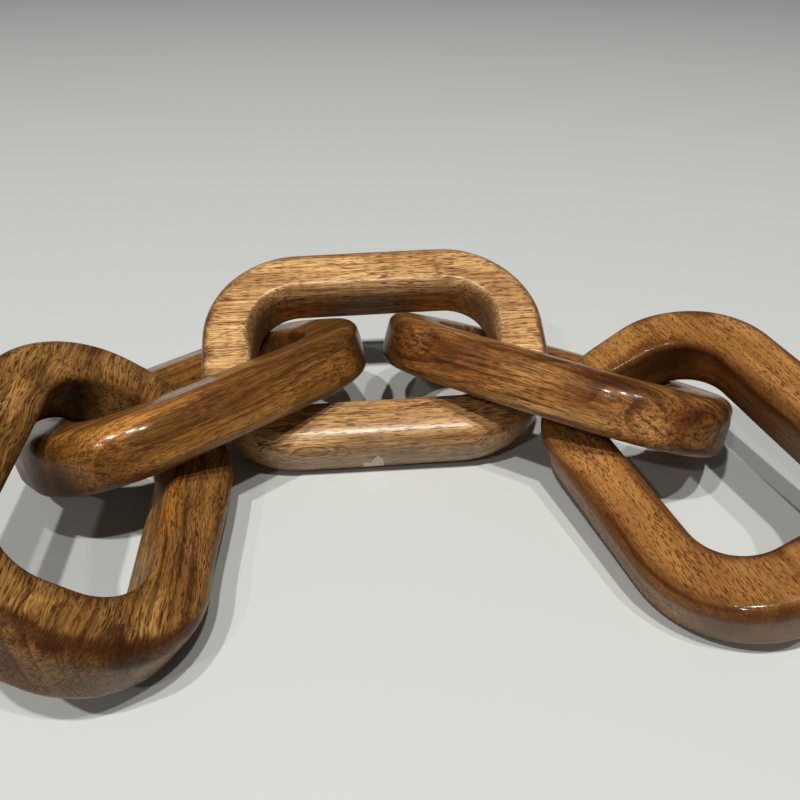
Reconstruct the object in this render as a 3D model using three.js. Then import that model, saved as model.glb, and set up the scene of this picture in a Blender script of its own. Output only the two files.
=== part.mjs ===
// A carved wooden chain: five closed links, each sawn and rounded from one block,
// threaded through each other and lying in an arc on a flat surface.
// Millimetres, +Z up. +X runs along the chain to the viewer's right and +Y away from the viewer.
// The origin is on the surface that the chain lies on, under the middle of the chain.

import * as THREE from 'three';

// Driving dimensions

const BAR_WIDTH = 21.5;          // across the bar, measured in the plane of a link
const EDGE_RADIUS = 3.8;         // rounding along every long edge of the bar
const EDGE_STEPS = 3;            // facets in that rounding
const CORNER_STEPS = 6;          // facets in half of one corner of a link's outline
const LACQUER_ROUGHNESS = 0.3;

// Each link is given by its outline's length and width over all, the thickness of its bar and the radius
// of its outer corners. It lies with its middle at [x, y] on the surface, turned by three angles in
// degrees: yaw about the vertical, then roll about its own width, then lean about its own length.
const LINKS = [
  {
    name: 'left_end_link',
    length: 134.3, width: 90.6, thickness: 22.3, corner: 40.9,
    middle: [-98.3, -53.5], yaw: 95.6, roll: 0.0, lean: 37.4,
    colour: 0x80583a,
  },
  {
    name: 'left_joining_link',
    length: 139.8, width: 94.3, thickness: 22, corner: 38.5,
    middle: [-78.0, 14.2], yaw: 41.2, roll: 0.0, lean: -23.6,
    colour: 0x7a5433,
  },
  {
    name: 'middle_link',
    length: 145.6, width: 97.9, thickness: 23.5, corner: 40.4,
    middle: [-6.1, 40.1], yaw: 4.6, roll: -1.4, lean: 27.0,
    colour: 0xb08a62,
  },
  {
    name: 'right_joining_link',
    length: 141.7, width: 90.8, thickness: 21.9, corner: 40.6,
    middle: [67.0, 25.8], yaw: -29.8, roll: 0.0, lean: -28.4,
    colour: 0x7e5536,
  },
  {
    name: 'right_end_link',
    length: 134.2, width: 94.4, thickness: 22.9, corner: 40.2,
    middle: [115.4, -26.5], yaw: -69.8, roll: 5.2, lean: 23.6,
    colour: 0x94663c,
  },
];

const degrees = THREE.MathUtils.degToRad;

// A rounded rectangle about the origin, its long side along X, drawn anticlockwise
// with four straight sides and four quarter circles.
function roundedRectangle(path, length, width, radius) {
  const x = length / 2 - radius;
  const y = width / 2 - radius;
  path.moveTo(x + radius, -y);
  path.lineTo(x + radius, y);
  path.absarc(x, y, radius, 0, degrees(90));
  path.lineTo(-x, y + radius);
  path.absarc(-x, y, radius, degrees(90), degrees(180));
  path.lineTo(-x - radius, -y);
  path.absarc(-x, -y, radius, degrees(180), degrees(270));
  path.lineTo(x, -y - radius);
  path.absarc(x, -y, radius, degrees(270), degrees(360));
  return path;
}

// The closed ring of one link: its outline less its hole, both with the same corner centres, so that the
// bar keeps one width all the way round. The bevel rounds the bar's four long edges.
function linkGeometry({ length, width, thickness, corner }) {
  const outline = roundedRectangle(new THREE.Shape(), length, width, corner);
  const hole = roundedRectangle(
    new THREE.Path(),
    length - 2 * BAR_WIDTH,
    width - 2 * BAR_WIDTH,
    corner - BAR_WIDTH,
  );
  outline.holes.push(hole);
  const ring = new THREE.ExtrudeGeometry(outline, {
    depth: thickness - 2 * EDGE_RADIUS,
    curveSegments: CORNER_STEPS,
    bevelThickness: EDGE_RADIUS,
    bevelSize: EDGE_RADIUS,
    bevelOffset: -EDGE_RADIUS,
    bevelSegments: EDGE_STEPS,
  });
  return ring.center();
}

// One link, turned as it lies and lowered until its lowest point is on the surface.
function makeLink(link) {
  const wood = new THREE.MeshStandardMaterial({
    color: link.colour,
    roughness: LACQUER_ROUGHNESS,
    metalness: 0,
  });
  const mesh = new THREE.Mesh(linkGeometry(link), wood);
  mesh.name = link.name;
  mesh.rotation.set(degrees(link.lean), degrees(link.roll), degrees(link.yaw), 'ZYX');
  mesh.position.set(link.middle[0], link.middle[1], 0);
  mesh.updateMatrixWorld();
  const lowest = new THREE.Box3().setFromObject(mesh, true).min.z;
  mesh.position.z = -lowest;
  return mesh;
}

const chain = new THREE.Group();
chain.name = 'wooden_chain';
for (const link of LINKS) {
  chain.add(makeLink(link));
}

// The whole chain is moved so that the origin is under the middle of its box.
chain.updateMatrixWorld();
const box = new THREE.Box3().setFromObject(chain, true);
const middle = box.getCenter(new THREE.Vector3());
chain.position.set(-middle.x, -middle.y, -box.min.z);

export default chain;
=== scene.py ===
"""A lacquered wooden chain: five carved links lying in an arc on a pale surface.

Shapes are in metres. The facts of a link and the patterns of its wood are in millimetres. +X
runs along the chain to the viewer's right, +Y away from the viewer and +Z up. A link's own axes
start at its middle: X along its grain and its length, Y across it and Z through its thickness.
"""

import math

import bmesh
import bpy
from mathutils import Euler, Matrix, Vector, noise


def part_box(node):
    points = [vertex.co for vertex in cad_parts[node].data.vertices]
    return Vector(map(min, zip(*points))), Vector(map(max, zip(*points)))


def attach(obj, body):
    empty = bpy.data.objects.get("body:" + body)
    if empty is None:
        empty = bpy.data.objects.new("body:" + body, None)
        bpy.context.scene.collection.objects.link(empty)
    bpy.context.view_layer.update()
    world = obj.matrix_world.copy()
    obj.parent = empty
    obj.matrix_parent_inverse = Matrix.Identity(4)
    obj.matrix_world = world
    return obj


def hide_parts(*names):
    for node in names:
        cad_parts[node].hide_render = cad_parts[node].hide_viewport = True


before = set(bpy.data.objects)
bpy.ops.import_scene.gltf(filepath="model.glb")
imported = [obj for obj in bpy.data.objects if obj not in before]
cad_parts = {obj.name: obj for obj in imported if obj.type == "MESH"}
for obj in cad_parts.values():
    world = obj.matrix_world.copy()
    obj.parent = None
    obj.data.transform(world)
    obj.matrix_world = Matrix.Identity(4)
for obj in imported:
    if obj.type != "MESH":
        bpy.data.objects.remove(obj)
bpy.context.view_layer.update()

MM = 0.001

# The carved bar, the same as in the solids but with softer outer edges

BAR_WIDTH = 21.5 * MM
OUTER_EDGE = 4.8 * MM
INNER_EDGE = 2.3 * MM
EDGE_SEGMENTS = 8
CORNER_STEPS = 26
STRAIGHT_STEPS = 26
FACE_CUTS = 13
MERGE_DISTANCE = 0.02 * MM

# Hand work: crowned faces, and a shallow wave that starts elsewhere on each link

FACE_CROWN = 0.3 * MM
TOOL_WANDER = 0.16 * MM
TOOL_WANDER_LENGTH = 24 * MM
TOOL_WANDER_SHIFT = (7.3, 3.1, 5.7)

# A wider rounding stays on its own side of the link's middle line, and fades out over this width

MIDDLE_LINE_FADE = 5 * MM

# Patterns in the wood: the length of a cell along the grain, its width across it, and how many
# finer layers are added, each weaker by the roughness

PATTERNS = {
    "wander": {"length": 80, "width": 40, "detail": 1.0},
    "curl": {"length": 14, "width": 20, "detail": 0.0},
    "stray": {"length": 9, "width": 6, "detail": 3.0},
    "faint_rings": {"length": 40, "width": 16, "detail": 2.0},
    "cloud": {"length": 60, "width": 13, "detail": 2.0},
    "stripe": {"length": 60, "width": 1.6, "detail": 4.0, "roughness": 0.65},
    "fibre": {"length": 16, "width": 0.6, "detail": 3.0, "roughness": 0.6},
    "pore_crowd": {"length": 22, "width": 4.5, "detail": 1.0},
}

# Three sizes of pore: their cell against the link's own pore_cell, their least and greatest
# radius as a share of a cell, their depth, whether they are wider in crowds, and a shift that
# keeps the sizes apart

PORES = (
    {
        "cell": (1.0, 1.0),
        "radii": (0.24, 0.44),
        "depth": 1.0,
        "crowded": True,
        "shift": (0, 0, 0),
    },
    {
        "cell": (0.8, 1.2),
        "radii": (0.08, 0.42),
        "depth": 1.0,
        "crowded": True,
        "shift": (23, 39.1, 13.8),
    },
    {
        "cell": (0.5, 0.8),
        "radii": (0.08, 0.40),
        "depth": 0.6,
        "crowded": False,
        "shift": (41, 69.7, 24.6),
    },
)

# How far the outlines of stains and painted light stray, and the share of that which a dark line
# and a tear take

TINT_STRAY = (16, 7, 7)
LINE_SHARE = 0.15
TEAR_SHARE = 0.12

# The patterns start this much further on from one link to the next

PATTERN_SHIFT = 137.0

# How unevenly the growth rings follow each other, and how far the darker finish on the edges
# wanders with the clouds in the wood

RING_UNEVENNESS = 1.6
EDGE_WANDER = 4.0

# Relief in the wood, as shares of the depth of its bump

FIBRE_RELIEF = 0.3
PORE_RELIEF = -1.0
TEAR_RELIEF = -2.0

EDGE_TINT = (0.34, 0.25, 0.17)
END_GRAIN_TINT = (0.46, 0.42, 0.40)
END_GRAIN_SHARE = 0.8

# The facts of each link, in millimetres and degrees, with places in the link's own axes
#
# size: length and width over all, thickness of the bar, outer radius of the outline's corners
# turn: yaw, roll and lean
# light, middle, dark, pore: the colours of its wood
# pith, slope: where the growth rings centre (y, z), and how far that moves for each mm of x
# wander, curl: how far the grain drifts slowly and in short waves
# ring_pitch, lines: distance between growth lines, and how dark they are
# stripes, fibre_depth, pore_depth: how strongly these show
# pore_cell: distance between pores along the grain and across it
# outer_edge, inner_edge: how dark the finish is along these edges; along the inner edge this is
#   also painted shade, where the surface turns down into the hole
# gloss, gloss_blur, low_gloss: amount of lacquer, its roughness, and what is left of it low down
# eased: a stretch of upper edge rounded wider. bar is the far (1) or near (-1) long bar, and side
#   its outer (1) or inner (-1) edge. radii are those across the bar and through it, and power is
#   2 for an ellipse and more for a squarer curve. It ends half_length from middle_x, after which
#   it fades.
# uneven: a place where the outer side is moved, fading to nothing at its reach
# stains and painted light, dulled: a soft tint, or a loss of lacquer, fading to nothing at its
#   reach. Most tints are stains in the wood; the others are painted shade and painted highlights,
#   each marked where it stands
# marks: a dark streak along a path of points
# ovals: a dark line round an ellipsoid, whose width is a share of the ellipsoid's own size
# torn: a bare patch, high at its peak and falling to a shoulder at either side, on the side of
#   the bar beyond face_y
# share: how strongly a stain, painted light, streak, line or dull place shows

LINKS = {
    "left_end_link": {
        "slot": "left_end_wood",
        "size": (134.3, 90.6, 22.3, 40.9),
        "turn": (95.6, 0.0, 37.4),
        "light": (0.44, 0.240, 0.070),
        "middle": (0.165, 0.073, 0.020),
        "dark": (0.060, 0.021, 0.006),
        "pore": (0.045, 0.012, 0.005),
        "pith": (38, -45),
        "slope": (0.05, 0.10),
        "wander": 9,
        "curl": 3.0,
        "ring_pitch": 4.5,
        "fibre_depth": 0.36,
        "stripes": 0.7,
        "lines": 0.5,
        "pore_cell": (6.6, 0.50),
        "pore_depth": 0.9,
        "outer_edge": 0.45,
        "inner_edge": 0.5,
        "gloss": 0.38,
        "gloss_blur": 0.15,
        "low_gloss": 1.0,
        "uneven": (
            {"at": (-62, 36), "reach": 44, "move": (3.9, -2.0, 0)},
            {"at": (30, -42), "reach": 52, "move": (0, -1.9, 1.45)},
            {"at": (64, 4), "reach": 46, "move": (2.0, 0.2, 0)},
        ),
        "marks": (
            {
                "path": (
                    (-61, 12, 11), (-64, -2, 11), (-61, -17, 11),
                    (-57, -27, 11), (-50, -35, 11), (-42, -41, 10),
                ),
                "width": 7.0,
                "share": 0.85,
            },
        ),
        "stains_and_painted_light": (
            {"at": (-62, 2, 10), "reach": (6, 18, 8), "share": 0.8, "tint": (0.30, 0.22, 0.22)},
            {"at": (-58, -24, 10), "reach": (7, 16, 9), "share": 0.95, "tint": (0.26, 0.18, 0.20)},
            {"at": (-67, -12, -2), "reach": (7, 40, 12), "share": 0.5, "tint": (0.62, 0.66, 0.80)},
            {"at": (32, 31, 11), "reach": (14, 8, 8), "share": 0.6, "tint": (0.45, 0.36, 0.30)},
            {"at": (-26, -34, 12), "reach": (34, 12, 10), "share": 0.55, "tint": (0.72, 0.62, 0.56)},
            {"at": (2, -25, 10), "reach": (26, 5, 8), "share": 0.7, "tint": (1.25, 0.95, 0.55)},
            {"at": (-22, -37, 8), "reach": (42, 14, 16), "share": 0.6, "tint": (0.70, 0.66, 0.72)},
        ),
    },
    "left_joining_link": {
        "slot": "left_joining_wood",
        "size": (139.8, 94.3, 22.0, 38.5),
        "turn": (41.2, 0.0, -23.6),
        "light": (0.37, 0.175, 0.042),
        "middle": (0.140, 0.061, 0.015),
        "dark": (0.060, 0.020, 0.005),
        "pore": (0.040, 0.012, 0.003),
        "pith": (-62, -10),
        "slope": (-0.08, 0.05),
        "wander": 8,
        "curl": 0.9,
        "ring_pitch": 3.4,
        "fibre_depth": 0.36,
        "stripes": 0.65,
        "lines": 0.5,
        "pore_cell": (6.0, 0.44),
        "pore_depth": 0.75,
        "outer_edge": 0.3,
        "inner_edge": 0.4,
        "gloss": 0.75,
        "gloss_blur": 0.15,
        "low_gloss": 0.35,
        "uneven": ({"at": (68, -18), "reach": 36, "move": (1.3, -0.3, 0)},),
        "eased": (
            {
                "bar": -1,
                "side": 1,
                "radii": (9.0, 9.5),
                "power": 2.2,
                "middle_x": -15,
                "half_length": 50,
                "fade": 20,
            },
        ),
        "dulled": ({"at": (-72, -14, -6), "reach": (20, 50, 20), "share": 0.95},),
        "stains_and_painted_light": (
            {"at": (-66, -20, -6), "reach": (12, 30, 10), "share": 0.8, "tint": (0.45, 0.40, 0.50)},
            {"at": (60, -30, 0), "reach": (20, 26, 20), "share": 0.6, "tint": (0.62, 0.52, 0.36)},
            # painted highlight: these two pale, slightly blue tints lighten the near bar's upper outer edge             where the lamps glint
            {"at": (-46, -40, 8), "reach": (22, 10, 5), "share": 0.8, "tint": (1.7, 1.75, 1.8)},
            {"at": (0, -46, 9), "reach": (40, 5, 4), "share": 0.6, "tint": (1.5, 1.5, 1.6)},
        ),
        "marks": (
            {
                "path": ((28, -45, 10.5), (39, -46, 6), (52, -41, 1), (60, -34, -3.5)),
                "width": 2.0,
                "share": 0.7,
            },
            {"path": ((23, -47, 3.5), (41, -46, -2), (55, -38, -5)), "width": 1.6, "share": 0.5},
        ),
    },
    "middle_link": {
        "slot": "middle_wood",
        "size": (145.6, 97.9, 23.5, 40.4),
        "turn": (4.6, -1.4, 27.0),
        "light": (0.70, 0.455, 0.225),
        "middle": (0.46, 0.270, 0.118),
        "dark": (0.21, 0.085, 0.025),
        "pore": (0.085, 0.024, 0.009),
        "pith": (20, -110),
        "slope": (0.03, 0.03),
        "wander": 4,
        "curl": 0.9,
        "ring_pitch": 5.0,
        "fibre_depth": 0.38,
        "stripes": 0.6,
        "lines": 0.5,
        "pore_cell": (7.5, 0.54),
        "pore_depth": 0.92,
        "outer_edge": 0.5,
        "inner_edge": 0.15,
        "gloss": 0.8,
        "gloss_blur": 0.27,
        "low_gloss": 0.6,
        "eased": (
            {
                "bar": -1,
                "side": 1,
                "radii": (13.0, 16.0),
                "power": 3.6,
                "middle_x": 2,
                "half_length": 40,
                "fade": 26,
            },
            {
                "bar": 1,
                "side": -1,
                "radii": (4.5, 8.5),
                "power": 2.0,
                "middle_x": 0,
                "half_length": 60,
                "fade": 26,
            },
        ),
        "uneven": ({"at": (62, 38), "reach": 40, "move": (-0.8, -0.8, 0)},),
        "ovals": (
            {"at": (-28, -48.8, 8), "reach": (7.5, 2.8, 2.8), "line": 0.16, "share": 0.8},
            {"at": (-29, -48.8, 7.6), "reach": (12, 4.2, 4.2), "line": 0.10, "share": 0.6},
            {"at": (-32, -48.8, 6.5), "reach": (19, 6.5, 6.5), "line": 0.07, "share": 0.6},
        ),
        "marks": (
            {
                "path": (
                    (2, -48.9, 6), (16, -48.6, 8), (24, -48, 9.6),
                    (29, -47, 11), (22, -44.6, 11.7), (8, -43.3, 11.7),
                ),
                "width": 1.1,
                "share": 0.7,
            },
            {
                "path": ((8, -48.9, 2), (26, -48.9, 5), (38, -47.5, 7.5), (43, -44, 10)),
                "width": 1.0,
                "share": 0.5,
            },
        ),
        "torn": (
            {
                "left": -8.2,
                "right": 0.6,
                "low": -9.4,
                "shoulder_z": -3.0,
                "peak_x": -1.9,
                "peak_z": 3.0,
                "steepness": 2.0,
                "face_y": -45.0,
                "tint": (0.66, 0.49, 0.38),
                "shade": (0.54, 0.39, 0.30),
            },
        ),
        "stains_and_painted_light": (
            # painted shade with a grey veil of painted reflection, on the near bar's outer side,             which faces forward and down
            {"at": (0, -49, -5), "reach": (80, 9, 17), "share": 0.9, "tint": (0.52, 0.58, 0.68)},
            {"at": (-2, -34, 12), "reach": (50, 10, 8), "share": 0.65, "tint": (0.60, 0.54, 0.44)},
            {"at": (14, 46, 12), "reach": (34, 8, 8), "share": 0.35, "tint": (0.72, 0.64, 0.52)},
            # painted highlight: the glint along the near bar's rounded upper edge, made greyer and
            # bluer
            {"at": (-2, -45, 8), "reach": (50, 8, 7), "share": 0.6, "tint": (0.78, 0.90, 1.10)},
            # painted shade: the lower part of the far bar's inner wall, down in the hole
            {"at": (0, 27, -6), "reach": (66, 7, 12), "share": 0.75, "tint": (0.52, 0.38, 0.24)},
            # darker outer rounding at both ends: partly end grain, partly painted shade where the surface             turns away from the lamps
            {"at": (-73, 4, 10), "reach": (6, 44, 14), "share": 0.8, "tint": (0.52, 0.42, 0.34)},
            {"at": (73, 4, 10), "reach": (6, 44, 14), "share": 0.8, "tint": (0.52, 0.42, 0.34)},
        ),
    },
    "right_joining_link": {
        "slot": "right_joining_wood",
        "size": (141.7, 90.8, 21.9, 40.6),
        "turn": (-29.8, 0.0, -28.4),
        "light": (0.50, 0.255, 0.085),
        "middle": (0.200, 0.082, 0.024),
        "dark": (0.058, 0.017, 0.005),
        "pore": (0.040, 0.011, 0.003),
        "pith": (-36.5, 1),
        "slope": (-0.12, 0.02),
        "wander": 9,
        "curl": 0.9,
        "ring_pitch": 3.6,
        "fibre_depth": 0.4,
        "stripes": 0.75,
        "lines": 0.75,
        "pore_cell": (6.0, 0.44),
        "pore_depth": 0.75,
        "outer_edge": 0.25,
        "inner_edge": 0.4,
        "gloss": 0.45,
        "gloss_blur": 0.14,
        "low_gloss": 0.35,
        "uneven": (
            {"at": (70, -22), "reach": 34, "move": (1.7, -0.4, 0)},
            {"at": (-70, -18), "reach": 34, "move": (-1.0, 0, 0)},
        ),
        "eased": (
            {
                "bar": -1,
                "side": 1,
                "radii": (9.0, 9.5),
                "power": 2.2,
                "middle_x": 30,
                "half_length": 40,
                "fade": 25,
            },
        ),
        "dulled": ({"at": (76, -12, -4), "reach": (20, 40, 24), "share": 0.9},),
        "stains_and_painted_light": (
            {"at": (-56, -36, 0), "reach": (18, 20, 20), "share": 0.85, "tint": (0.42, 0.30, 0.14)},
            {"at": (-26, -44, 0), "reach": (40, 14, 18), "share": 0.7, "tint": (0.52, 0.42, 0.28)},
            {"at": (70, -12, 0), "reach": (12, 20, 18), "share": 0.7, "tint": (0.50, 0.45, 0.50)},
            {"at": (36, -43, 9), "reach": (30, 8, 5), "share": 0.8, "tint": (0.42, 0.30, 0.30)},
            {"at": (14, -45, -8), "reach": (40, 8, 6), "share": 0.8, "tint": (1.25, 1.4, 1.5)},
            {"at": (58, -35, 4), "reach": (12, 12, 7), "share": 0.7, "tint": (0.55, 0.42, 0.30)},
        ),
        "marks": (
            {
                "path": (
                    (62.5, -29, -8), (67.5, -21, -3), (68.3, -19.5, 1),
                    (65, -25, 7), (61, -29.5, 10),
                ),
                "width": 1.6,
                "share": 0.95,
            },
            {
                "path": ((40, -44, 3), (46, -42, -0.5), (52, -39, -4), (56, -36, -7.5)),
                "width": 1.4,
                "share": 0.8,
            },
            {
                "path": ((48, -41.5, 6.5), (54, -37.5, 3), (60, -32.5, -2), (63, -29, -6.5)),
                "width": 1.8,
                "share": 0.7,
            },
            {
                "path": ((-60, -31, 9), (-56, -35.5, 4), (-54, -37.5, 0), (-50, -40, -5)),
                "width": 2.4,
                "share": 0.6,
            },
        ),
    },
    "right_end_link": {
        "slot": "right_end_wood",
        "size": (134.2, 94.4, 22.9, 40.2),
        "turn": (-69.8, 5.2, 23.6),
        "light": (0.44, 0.222, 0.070),
        "middle": (0.250, 0.112, 0.031),
        "dark": (0.085, 0.028, 0.006),
        "pore": (0.075, 0.020, 0.006),
        "pith": (60, -60),
        "slope": (0.03, -0.06),
        "wander": 7,
        "curl": 0.9,
        "ring_pitch": 6.0,
        "fibre_depth": 0.24,
        "stripes": 0.3,
        "lines": 0.35,
        "pore_cell": (3.6, 0.49),
        "pore_depth": 0.92,
        "outer_edge": 0.75,
        "inner_edge": 0.85,
        "gloss": 0.45,
        "gloss_blur": 0.10,
        "low_gloss": 0.55,
        "uneven": ({"at": (-66, -22), "reach": 40, "move": (3.0, 1.0, 0)},),
        "stains_and_painted_light": (
            {"at": (-45, 10, 3), "reach": (12, 30, 9), "share": 0.85, "tint": (0.42, 0.34, 0.28)},
            {"at": (56, -36, 2), "reach": (24, 12, 7), "share": 0.7, "tint": (0.55, 0.44, 0.40)},
            {"at": (58, 4, 12), "reach": (14, 40, 8), "share": 0.6, "tint": (0.76, 0.73, 0.68)},
            {"at": (-50, 12, 12), "reach": (14, 12, 6), "share": 0.5, "tint": (0.62, 0.52, 0.40)},
        ),
        "marks": (
            {
                "path": (
                    (8, -44, 11), (30, -44.5, 11), (41, -42, 11),
                    (49, -38, 11), (55, -33, 11), (58, -27, 11),
                ),
                "width": 2.6,
                "share": 0.7,
            },
        ),
    },
}

# Where the lamps hang, and the power of each in watts. All aim at the floor below the middle of
# the chain.

LAMPS = {
    "middle_spot": {"place": (0.06, -0.96, 2.70), "power": 40},
    "right_spot": {"place": (0.68, -1.00, 2.75), "power": 23},
    "left_spot": {"place": (-0.86, -1.20, 2.75), "power": 40},
    "far_left_spot": {"place": (-1.11, -1.87, 1.99), "power": 9},
}
LAMP_DIAMETER = 0.09
LAMP_COLOUR = (1.0, 0.96, 0.9)
SKY_COLOUR = (0.80, 0.86, 0.9, 1)
SKY_STRENGTH = 0.07
FLOOR_HALF_SIZE = 6.0
FLOOR_COLOUR = (0.575, 0.61, 0.61, 1)

# The photograph's view, with its tilt and roll in degrees and its lens and sensor in millimetres

CAMERA_PLACE = (-0.0080, -0.2230, 0.2024)
CAMERA_TILT = 34.89
CAMERA_ROLL = 0.30
CAMERA_LENS = 33.95
CAMERA_SENSOR = 36.0


# Shape


def bar_section(bm, thickness):
    """The bar's cut face: a rectangle with bevelled corners and slightly crowned sides, X
    across the bar (outwards +) and Z through its thickness."""
    made = bmesh.ops.create_grid(bm, x_segments=1, y_segments=1, size=0.5)
    bmesh.ops.scale(bm, verts=made["verts"], vec=(BAR_WIDTH, thickness, 1))
    bmesh.ops.rotate(bm, verts=made["verts"], matrix=Matrix.Rotation(math.radians(90), 3, "X"))
    outer = [v for v in bm.verts if v.co.x > 0]
    inner = [v for v in bm.verts if v.co.x < 0]
    for corners, radius in ((outer, OUTER_EDGE), (inner, INNER_EDGE)):
        bmesh.ops.bevel(
            bm,
            geom=corners,
            offset=radius,
            offset_type="OFFSET",
            affect="VERTICES",
            segments=EDGE_SEGMENTS,
            profile=0.5,
            material=-1,
        )
    sides = [e for e in bm.edges if e.calc_length() > OUTER_EDGE]
    bmesh.ops.subdivide_edges(bm, edges=sides, cuts=FACE_CUTS)
    half = Vector((BAR_WIDTH / 2, 0, thickness / 2))
    for v in bm.verts:
        reach_x = abs(v.co.x) / half.x
        reach_z = abs(v.co.z) / half.z
        v.co.x *= 1 - FACE_CROWN / half.x * reach_z**2
        v.co.z *= 1 - FACE_CROWN / half.z * reach_x**2


def leading_face(bm, made, last, first):
    """The face at the front of what a sweep has just made. The one behind it, now inside the
    bar, goes, but the first face stays until the ring is closed."""
    if last is not first:
        bmesh.ops.delete(bm, geom=[last], context="FACES_ONLY")
    return [g for g in made if isinstance(g, bmesh.types.BMFace)][0]


def ring_of(bm, length, width, corner):
    """Sweeps the section round a rounded rectangle, with four straight runs and four quarter
    spins, and closes it into a ring."""
    straight_x = length / 2 - corner
    straight_y = width / 2 - corner
    bar_middle = straight_x + corner - BAR_WIDTH / 2
    bmesh.ops.translate(bm, verts=bm.verts[:], vec=(bar_middle, -straight_y, 0))
    first = bm.faces[:][0]
    face = first
    quarter = math.radians(90)
    heading = Vector((0, 1, 0))
    half_runs = (straight_y, straight_x, straight_y, straight_x)
    corner_sides = ((1, 1), (-1, 1), (-1, -1), (1, -1))
    for half_run, (side_x, side_y) in zip(half_runs, corner_sides):
        steps = max(2, round(STRAIGHT_STEPS * half_run / straight_x))
        for _ in range(steps):
            made = bmesh.ops.extrude_face_region(bm, geom=[face])["geom"]
            moved = [g for g in made if isinstance(g, bmesh.types.BMVert)]
            bmesh.ops.translate(bm, verts=moved, vec=heading * (2 * half_run / steps))
            face = leading_face(bm, made, face, first)
        turned = bmesh.ops.spin(
            bm,
            geom=[face],
            cent=(side_x * straight_x, side_y * straight_y, 0),
            axis=(0, 0, 1),
            dvec=(0, 0, 0),
            angle=quarter,
            steps=CORNER_STEPS,
            use_merge=False,
            use_duplicate=False,
        )
        face = leading_face(bm, turned["geom_last"], face, first)
        heading = Matrix.Rotation(quarter, 3, "Z") @ heading
    bmesh.ops.delete(bm, geom=[first, face], context="FACES_ONLY")
    bmesh.ops.remove_doubles(bm, verts=bm.verts[:], dist=MERGE_DISTANCE)


def across_bar(place, facts):
    """How far outwards from the middle of the bar a point lies, and which way outwards is."""
    length, width, _, corner = (x * MM for x in facts["size"])
    past_x = max(abs(place.x) - (length / 2 - corner), 0)
    past_y = max(abs(place.y) - (width / 2 - corner), 0)
    past = math.hypot(past_x, past_y)
    way = Vector((math.copysign(past_x, place.x), math.copysign(past_y, place.y), 0)) / past
    return past - (corner - BAR_WIDTH / 2), way


def smooth(share):
    """The share held between 0 and 1, with a soft start and end."""
    share = min(1.0, max(0.0, share))
    return share * share * (3 - 2 * share)


def ease_edges(bm, facts):
    """Sands some stretches of an edge to a wider rounding than the rest."""
    thickness = facts["size"][2] * MM
    for stretch in facts.get("eased", ()):
        side, power = stretch["side"], stretch["power"]
        radius_across, radius_z = (r * MM for r in stretch["radii"])
        fade = stretch["fade"] * MM
        edge_across = BAR_WIDTH / 2 - radius_across
        edge_z = thickness / 2 - radius_z
        for v in bm.verts:
            offset, way = across_bar(v.co, facts)
            across = (offset * side - edge_across) / radius_across
            z = (v.co.z - edge_z) / radius_z
            if across <= 0 or z <= 0:
                continue
            past = abs(v.co.x - stretch["middle_x"] * MM) - stretch["half_length"] * MM
            on_long_bar = smooth(v.co.y * stretch["bar"] / MIDDLE_LINE_FADE)
            share = smooth(1 - past / fade) * on_long_bar
            far = (across**power + z**power) ** (1 / power)
            if far > 1:
                pull = 1 - share * (1 - 1 / far)
                v.co += way * (side * (pull - 1) * across * radius_across)
                v.co.z = edge_z + z * pull * radius_z


def uneven_sides(bm, facts):
    """Carves the outer side a little flatter or fuller where it isn't as regular as the rest."""
    half_bar = BAR_WIDTH / 2
    for spot in facts["uneven"]:
        middle = Vector(spot["at"]) * MM
        move = Vector(spot["move"]) * MM
        reach = spot["reach"] * MM
        for v in bm.verts:
            offset, _ = across_bar(v.co, facts)
            outer_share = min(1.0, max(0.0, (offset + half_bar) / half_bar))
            away = (v.co.xy - middle).length / reach
            if away < 1:
                v.co += move * ((1 - away * away) ** 2 * outer_share)


def hand_finish(bm, number):
    """The slight unevenness that rasp and sandpaper leave, always inwards."""
    bm.normal_update()
    start = Vector([number * shift for shift in TOOL_WANDER_SHIFT])
    moves = []
    for v in bm.verts:
        wave = noise.noise(v.co / TOOL_WANDER_LENGTH + start)
        moves.append(v.normal * (-TOOL_WANDER * (0.5 + 0.5 * wave)))
    for v, move in zip(bm.verts, moves):
        v.co += move


def link_turn(facts):
    """How a link lies: it leans about its own length, then rolls, then yaws."""
    yaw, roll, lean = (math.radians(a) for a in facts["turn"])
    return Euler((lean, roll, yaw), "XYZ")


def carve_link(name, facts, number):
    """One link's piece and its middle. The mesh holds its place, and the object stays at the
    origin."""
    length, width, thickness, corner = (x * MM for x in facts["size"])
    bm = bmesh.new()
    bar_section(bm, thickness)
    ring_of(bm, length, width, corner)
    ease_edges(bm, facts)
    uneven_sides(bm, facts)
    hand_finish(bm, number)
    low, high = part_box(name)
    centre = (low + high) / 2
    place = Matrix.Translation(centre) @ link_turn(facts).to_matrix().to_4x4()
    bmesh.ops.transform(bm, matrix=place, verts=bm.verts[:])
    bmesh.ops.recalc_face_normals(bm, faces=bm.faces[:])
    mesh = bpy.data.meshes.new("carved_" + name)
    bm.to_mesh(mesh)
    bm.free()
    for polygon in mesh.polygons:
        polygon.use_smooth = True
    piece = bpy.data.objects.new("carved_" + name, mesh)
    bpy.context.scene.collection.objects.link(piece)
    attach(piece, "root")
    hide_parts(name)
    return piece, centre


# Wood


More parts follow.
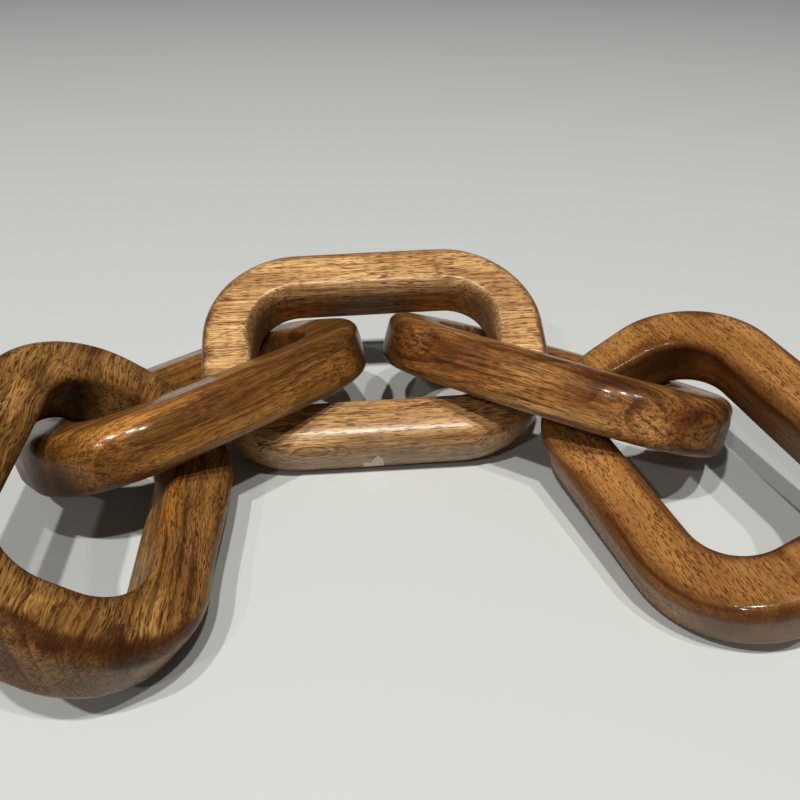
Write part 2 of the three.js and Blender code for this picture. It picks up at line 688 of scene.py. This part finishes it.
class Nodes:
    """Short ways to add and join shader nodes."""

    def __init__(self, material):
        material.use_nodes = True
        self.tree = material.node_tree
        self.tree.nodes.clear()

    def add(self, kind, **settings):
        node = self.tree.nodes.new(kind)
        for key, value in settings.items():
            setattr(node, key, value)
        return node

    def feed(self, socket, value):
        if isinstance(value, bpy.types.NodeSocket):
            self.tree.links.new(value, socket)
        else:
            socket.default_value = value

    def math(self, operation, a, b=0.0, c=0.0, clamp=False):
        node = self.add("ShaderNodeMath", operation=operation, use_clamp=clamp)
        for socket, value in zip(node.inputs, (a, b, c)):
            self.feed(socket, value)
        return node.outputs[0]

    def vector(self, operation, a, b=(0, 0, 0)):
        node = self.add("ShaderNodeVectorMath", operation=operation)
        self.feed(node.inputs[0], a)
        self.feed(node.inputs[1], b)
        one_number = operation in ("LENGTH", "DISTANCE", "DOT_PRODUCT")
        return node.outputs["Value" if one_number else "Vector"]

    def split(self, vector):
        node = self.add("ShaderNodeSeparateXYZ")
        self.feed(node.inputs[0], vector)
        return node.outputs[0], node.outputs[1], node.outputs[2]

    def join(self, x, y, z):
        node = self.add("ShaderNodeCombineXYZ")
        for socket, value in zip(node.inputs, (x, y, z)):
            self.feed(socket, value)
        return node.outputs[0]

    def noise(self, place, length, width, detail, roughness=0.5, colour=False):
        """Noise in cells of that length along X and that width across it."""
        node = self.add("ShaderNodeTexNoise", noise_dimensions="3D")
        cell = self.vector("MULTIPLY", place, (1 / length, 1 / width, 1 / width))
        self.feed(node.inputs["Vector"], cell)
        node.inputs["Scale"].default_value = 1.0
        node.inputs["Detail"].default_value = detail
        node.inputs["Roughness"].default_value = roughness
        return node.outputs["Color" if colour else "Fac"]

    def line_noise(self, distance, length, detail):
        """Noise along one line, in cells of that length."""
        node = self.add("ShaderNodeTexNoise", noise_dimensions="1D")
        self.feed(node.inputs["W"], distance)
        node.inputs["Scale"].default_value = 1 / length
        node.inputs["Detail"].default_value = detail
        node.inputs["Roughness"].default_value = 0.5
        return node.outputs["Fac"]

    def step(self, value, start, end, low=0.0, high=1.0):
        """Goes softly from low, where the value is at start, to high, where it is at end."""
        node = self.add("ShaderNodeMapRange", interpolation_type="SMOOTHSTEP")
        for socket, v in zip(node.inputs[:5], (value, start, end, low, high)):
            self.feed(socket, v)
        return node.outputs[0]

    def mix(self, share, a, b, blend="MIX"):
        node = self.add("ShaderNodeMix", data_type="RGBA", blend_type=blend)
        self.feed(node.inputs["Factor"], share)
        for name, value in (("A", a), ("B", b)):
            socket = [s for s in node.inputs if s.name == name and s.type == "RGBA"][0]
            self.feed(socket, (*value, 1.0) if isinstance(value, tuple) else value)
        return [s for s in node.outputs if s.type == "RGBA"][0]

    def bump(self, height, strength, depth):
        node = self.add("ShaderNodeBump")
        node.inputs["Strength"].default_value = strength
        node.inputs["Distance"].default_value = depth
        self.feed(node.inputs["Height"], height)
        return node.outputs["Normal"]

    def surface(self, values):
        """The material's shader, with a value or another node's output for each named input."""
        shader = self.add("ShaderNodeBsdfPrincipled")
        for name, value in values.items():
            self.feed(shader.inputs[name], value)
        output = self.add("ShaderNodeOutputMaterial")
        self.feed(output.inputs["Surface"], shader.outputs["BSDF"])


def drift(n, place, pattern, reach):
    """A sideways move in the named pattern, up to half of reach either way."""
    part = n.noise(place, colour=True, **PATTERNS[pattern])
    return n.vector("MULTIPLY", n.vector("SUBTRACT", part, (0.5, 0.5, 0.5)), reach)


def growth_rings(n, grain, seeded, shift, facts):
    """The distance from the pith, and 1 on the growth lines, which fade out in patches."""
    x, y, z = n.split(grain)
    (slope_y, slope_z), (pith_y, pith_z) = facts["slope"], facts["pith"]
    across = n.math("MULTIPLY_ADD", x, slope_y, n.math("SUBTRACT", y, pith_y))
    through = n.math("MULTIPLY_ADD", x, slope_z, n.math("SUBTRACT", z, pith_z))
    radius = n.math("ADD", n.vector("LENGTH", n.join(0.0, across, through)), shift)
    uneven = n.line_noise(radius, length=9, detail=1.0)
    rings = n.math("DIVIDE", radius, facts["ring_pitch"])
    rings = n.math("MULTIPLY_ADD", uneven, RING_UNEVENNESS, rings)
    part = n.math("FRACT", rings)
    line = n.math("MULTIPLY", n.step(part, 0.55, 0.93), n.step(part, 1.0, 0.95))
    patches = n.step(n.noise(seeded, **PATTERNS["faint_rings"]), 0.38, 0.62)
    return radius, n.math("MULTIPLY", line, patches)


def timber(n, grain, cloud, radius, line, facts):
    """Light and middling wood in clouds and wide bands, with dark stripes and growth lines."""
    band = n.step(n.line_noise(radius, length=7, detail=1.5), 0.35, 0.65)
    tone = n.math("MULTIPLY_ADD", band, 0.4, n.math("MULTIPLY", cloud, 0.6))
    stripe = n.step(n.noise(grain, **PATTERNS["stripe"]), 0.46, 0.64)
    colour = n.mix(tone, facts["light"], facts["middle"])
    colour = n.mix(n.math("MULTIPLY", stripe, facts["stripes"]), colour, facts["dark"])
    return n.mix(n.math("MULTIPLY", line, facts["lines"]), colour, facts["dark"])


def soft_spot(n, place, spot):
    """1 inside an ellipsoid, fading to 0 at its edge."""
    away = n.vector("DIVIDE", n.vector("SUBTRACT", place, spot["at"]), spot["reach"])
    return n.step(n.vector("LENGTH", away), 1.0, 0.3)


def near_path(n, place, mark):
    """1 on a line through the mark's points, fading to 0 half its width away."""
    nearest = None
    points = mark["path"]
    for start, end in zip(points, points[1:]):
        run = Vector(end) - Vector(start)
        from_start = n.vector("SUBTRACT", place, start)
        share = n.vector("DOT_PRODUCT", from_start, tuple(run / run.length_squared))
        share = n.math("ADD", share, 0.0, clamp=True)
        along = n.vector("MULTIPLY", n.join(share, share, share), tuple(run))
        away = n.vector("DISTANCE", from_start, along)
        nearest = away if nearest is None else n.math("MINIMUM", nearest, away)
    return n.step(nearest, mark["width"] / 2, mark["width"] / 8)


def near_oval(n, place, oval):
    """1 on the closed line where an ellipsoid shell meets the surface."""
    away = n.vector("DIVIDE", n.vector("SUBTRACT", place, oval["at"]), oval["reach"])
    off_line = n.math("ABSOLUTE", n.math("SUBTRACT", n.vector("LENGTH", away), 1.0))
    return n.step(off_line, oval["line"], 0.0)


def own_figure_and_painted_light(n, colour, loose, shaky, facts):
    """The stains, dark lines, painted shade and painted highlights that belong to this one link."""
    for tinted_spot in facts["stains_and_painted_light"]:
        share = n.math("MULTIPLY", soft_spot(n, loose, tinted_spot), tinted_spot["share"])
        colour = n.mix(share, colour, tinted_spot["tint"], blend="MULTIPLY")
    for mark in facts["marks"]:
        share = n.math("MULTIPLY", near_path(n, shaky, mark), mark["share"])
        colour = n.mix(share, colour, facts["dark"])
    for oval in facts.get("ovals", ()):
        share = n.math("MULTIPLY", near_oval(n, shaky, oval), oval["share"])
        colour = n.mix(share, colour, facts["dark"])
    return colour


def bar_offset(n, x, y, facts):
    """How far outwards from the middle of the bar a point lies."""
    length, width, _, corner = facts["size"]
    past_x = n.math("SUBTRACT", n.math("ABSOLUTE", x), length / 2 - corner)
    past_y = n.math("SUBTRACT", n.math("ABSOLUTE", y), width / 2 - corner)
    positive = n.join(n.math("MAXIMUM", past_x, 0.0), n.math("MAXIMUM", past_y, 0.0), 0.0)
    round_part = n.vector("LENGTH", positive)
    flat_part = n.math("MINIMUM", n.math("MAXIMUM", past_x, past_y), 0.0)
    middle = corner - BAR_WIDTH / MM / 2
    return n.math("SUBTRACT", n.math("ADD", round_part, flat_part), middle)


def darker_edges(n, colour, offset, z, along, facts):
    """The finish gathers on the rounded edges and in end grain, which come out darker. The inner
    edge's darkening is also painted shade, falling off into the hole.
    """
    near_face = n.step(n.math("ABSOLUTE", z), 5.0, 9.5, 0.4, 1.0)
    outer = n.math("MULTIPLY", n.step(offset, 5.0, 9.0), facts["outer_edge"])
    # painted shade: the inner edge darkens into the hole, together with the gathered finish
    inner = n.math("MULTIPLY", n.step(offset, -4.5, -8.5), facts["inner_edge"])
    edge = n.math("MULTIPLY", n.math("MAXIMUM", outer, inner), near_face)
    colour = n.mix(edge, colour, EDGE_TINT, blend="MULTIPLY")
    end_grain = n.step(n.math("ABSOLUTE", along), 0.25, 0.8)
    end_grain = n.math("MULTIPLY", end_grain, END_GRAIN_SHARE)
    return n.mix(end_grain, colour, END_GRAIN_TINT, blend="MULTIPLY")


def pore_layer(n, grain, length, pitch, layer, crowd):
    """One size of open pore: strokes along the grain on the faces and dots on end grain."""
    moved = n.vector("ADD", grain, layer["shift"])
    node = n.add("ShaderNodeTexVoronoi", voronoi_dimensions="3D", feature="F1")
    n.feed(node.inputs["Vector"], n.vector("MULTIPLY", moved, (1 / length, 1 / pitch, 1 / pitch)))
    node.inputs["Scale"].default_value = 1.0
    node.inputs["Randomness"].default_value = 1.0
    pick = n.split(node.outputs["Color"])[0]
    radius = n.math("MULTIPLY", n.step(pick, 0.0, 1.0, *layer["radii"]), crowd)
    inside = n.step(n.math("DIVIDE", node.outputs["Distance"], radius), 1.0, 0.75)
    return n.math("MULTIPLY", inside, layer["depth"])


def open_pores(n, grain, facts):
    """1 in the open pores. The larger ones are wider where they crowd together."""
    crowd = n.step(n.noise(grain, **PATTERNS["pore_crowd"]), 0.3, 0.7, 0.70, 1.12)
    pore = 0.0
    for layer in PORES:
        length, pitch = (own * share for own, share in zip(facts["pore_cell"], layer["cell"]))
        size = crowd if layer["crowded"] else 1.0
        pore = n.math("MAXIMUM", pore, pore_layer(n, grain, length, pitch, layer, size))
    return pore


def torn_patch(n, mm, stray, patch):
    """1 where the surface has torn away, in a patch with a ragged, peaked upper edge."""
    x, y, z = n.split(mm)
    wobble = n.math("MULTIPLY", n.split(stray)[0], TEAR_SHARE)
    from_peak = n.math("ABSOLUTE", n.math("SUBTRACT", x, patch["peak_x"]))
    peak = n.math("MULTIPLY_ADD", from_peak, -patch["steepness"], patch["peak_z"])
    top = n.math("ADD", n.math("MAXIMUM", peak, patch["shoulder_z"]), wobble)
    soft = 0.3
    inside = n.step(n.math("SUBTRACT", top, z), 0.0, soft)
    for value, edge, way in ((x, patch["left"], 1), (x, patch["right"], -1), (z, patch["low"], 1)):
        past = n.math("SUBTRACT", n.math("ADD", value, wobble), edge)
        inside = n.math("MULTIPLY", inside, n.step(n.math("MULTIPLY", past, way), 0.0, soft))
    return n.math("MULTIPLY", inside, n.step(y, patch["face_y"], patch["face_y"] - 1.0))


def lacquer(n, pore, offset, z, loose, facts):
    """How much lacquer shows: less in the pores, on the inner walls and low down."""
    gloss = n.math("MULTIPLY_ADD", pore, -0.3, facts["gloss"])
    gloss = n.math("MULTIPLY", gloss, n.step(offset, -9.5, -5.0, 0.25, 1.0))
    gloss = n.math("MULTIPLY", gloss, n.step(z, -10.0, 2.0, facts["low_gloss"], 1.0))
    for spot in facts.get("dulled", ()):
        left = n.math("MULTIPLY_ADD", soft_spot(n, loose, spot), -spot["share"], 1.0)
        gloss = n.math("MULTIPLY", gloss, left)
    return gloss


def wood(name, facts, number, centre):
    """Open-pored timber under a clear gloss lacquer, its grain along the link's own length."""
    material = bpy.data.materials.new("lacquered_wood_" + name)
    n = Nodes(material)
    coords = n.add("ShaderNodeTexCoord")
    placed = n.add("ShaderNodeMapping", vector_type="TEXTURE")
    n.feed(placed.inputs["Vector"], coords.outputs["Object"])
    placed.inputs["Location"].default_value = centre
    placed.inputs["Rotation"].default_value = link_turn(facts)
    placed.inputs["Scale"].default_value = (MM, MM, MM)
    mm = placed.outputs["Vector"]

    # The grain wanders slowly and curls a little. Stains and painted light stray from their
    # outline far more.
    shift = number * PATTERN_SHIFT
    seeded = n.vector("ADD", mm, (shift, 0, 0))
    wander = drift(n, seeded, "wander", (0, facts["wander"], facts["wander"]))
    curl = drift(n, seeded, "curl", (0, facts["curl"], facts["curl"]))
    grain = n.vector("ADD", n.vector("ADD", mm, wander), curl)
    stray = drift(n, seeded, "stray", TINT_STRAY)
    loose = n.vector("ADD", mm, stray)
    shaky = n.vector("ADD", mm, n.vector("MULTIPLY", stray, (LINE_SHARE,) * 3))

    radius, line = growth_rings(n, grain, seeded, shift, facts)
    cloud = n.step(n.noise(grain, **PATTERNS["cloud"]), 0.34, 0.66)
    colour = timber(n, grain, cloud, radius, line, facts)
    colour = own_figure_and_painted_light(n, colour, loose, shaky, facts)

    # The edge of the darker finish and painted shade follows the clouds a little
    x, y, z = n.split(mm)
    cloudy = n.math("SUBTRACT", cloud, 0.5)
    offset = n.math("MULTIPLY_ADD", cloudy, EDGE_WANDER, bar_offset(n, x, y, facts))
    lengthwise = tuple(link_turn(facts).to_matrix().col[0])
    along = n.vector("DOT_PRODUCT", coords.outputs["Normal"], lengthwise)
    colour = darker_edges(n, colour, offset, z, along, facts)

    fibre = n.noise(grain, **PATTERNS["fibre"])
    fine = n.step(fibre, 0.31, 0.69, 1 - facts["fibre_depth"], 1 + facts["fibre_depth"])
    colour = n.mix(1.0, colour, n.join(fine, fine, fine), blend="MULTIPLY")
    pore = open_pores(n, grain, facts)
    colour = n.mix(n.math("MULTIPLY", pore, facts["pore_depth"]), colour, facts["pore"])
    height = n.math("MULTIPLY_ADD", fibre, FIBRE_RELIEF, n.math("MULTIPLY", pore, PORE_RELIEF))
    gloss = lacquer(n, pore, offset, z, loose, facts)
    for patch in facts.get("torn", ()):
        bare = torn_patch(n, mm, stray, patch)
        splinters = n.mix(n.step(fibre, 0.3, 0.7), patch["shade"], patch["tint"])
        colour = n.mix(bare, colour, splinters)
        height = n.math("MULTIPLY_ADD", bare, TEAR_RELIEF, height)
        gloss = n.math("MULTIPLY", gloss, n.math("SUBTRACT", 1.0, bare))

    n.surface(
        {
            "Base Color": colour,
            "Roughness": n.step(fibre, 0.2, 0.8, 0.40, 0.52),
            "Specular IOR Level": 0.14,
            "Specular Tint": (1.0, 0.78, 0.50, 1),
            "Normal": n.bump(height, strength=0.5, depth=0.10 * MM),
            "Coat Weight": gloss,
            "Coat Roughness": facts["gloss_blur"],
            "Coat IOR": 1.45,
            "Coat Tint": (1.0, 0.92, 0.76, 1),
            "Coat Normal": n.bump(height, strength=0.10, depth=0.08 * MM),
        }
    )
    return material


for number, (node_name, facts) in enumerate(LINKS.items(), start=1):
    piece, centre = carve_link(node_name, facts, number)
    piece.data.materials.append(wood(node_name, facts, number, centre))


# Floor, light and camera


def pale_floor():
    """A wide pale surface under the chain."""
    bm = bmesh.new()
    bmesh.ops.create_grid(bm, x_segments=1, y_segments=1, size=FLOOR_HALF_SIZE)
    mesh = bpy.data.meshes.new("floor")
    bm.to_mesh(mesh)
    bm.free()
    floor = bpy.data.objects.new("floor", mesh)
    bpy.context.scene.collection.objects.link(floor)
    material = bpy.data.materials.new("pale_floor")
    Nodes(material).surface({"Base Color": FLOOR_COLOUR, "Roughness": 0.5})
    mesh.materials.append(material)


def lamp(name, place, power):
    """A small round lamp, aimed at the floor below the middle of the chain."""
    data = bpy.data.lights.new(name, "AREA")
    data.shape = "DISK"
    data.size = LAMP_DIAMETER
    data.energy = power
    data.color = LAMP_COLOUR
    lamp_object = bpy.data.objects.new(name, data)
    lamp_object.location = place
    lamp_object.rotation_euler = (-Vector(place)).to_track_quat("-Z", "Y").to_euler()
    bpy.context.scene.collection.objects.link(lamp_object)


def soft_room():
    """Weak cool light from all round."""
    world = bpy.data.worlds.new("soft_room")
    bpy.context.scene.world = world
    world.use_nodes = True
    background = world.node_tree.nodes["Background"]
    background.inputs["Color"].default_value = SKY_COLOUR
    background.inputs["Strength"].default_value = SKY_STRENGTH


def photo_camera():
    """The camera that took the photograph, as fitted to it."""
    tilt, roll = math.radians(CAMERA_TILT), math.radians(CAMERA_ROLL)
    ahead = Vector((0, math.cos(tilt), -math.sin(tilt)))
    level_up = Vector((0, math.sin(tilt), math.cos(tilt)))
    right = Vector((1, 0, 0)) * math.cos(roll) + level_up * math.sin(roll)
    up = right.cross(ahead)
    data = bpy.data.cameras.new("photo_camera")
    data.sensor_width = CAMERA_SENSOR
    data.lens = CAMERA_LENS
    data.clip_start = 0.01
    data.clip_end = 50
    camera = bpy.data.objects.new("photo_camera", data)
    turn = Matrix((right, up, -ahead)).transposed().to_4x4()
    camera.matrix_world = Matrix.Translation(CAMERA_PLACE) @ turn
    bpy.context.scene.collection.objects.link(camera)
    bpy.context.scene.camera = camera


pale_floor()
soft_room()
for lamp_name, lamp_facts in LAMPS.items():
    lamp(lamp_name, lamp_facts["place"], lamp_facts["power"])
bpy.context.scene.view_settings.view_transform = "Standard"
photo_camera()
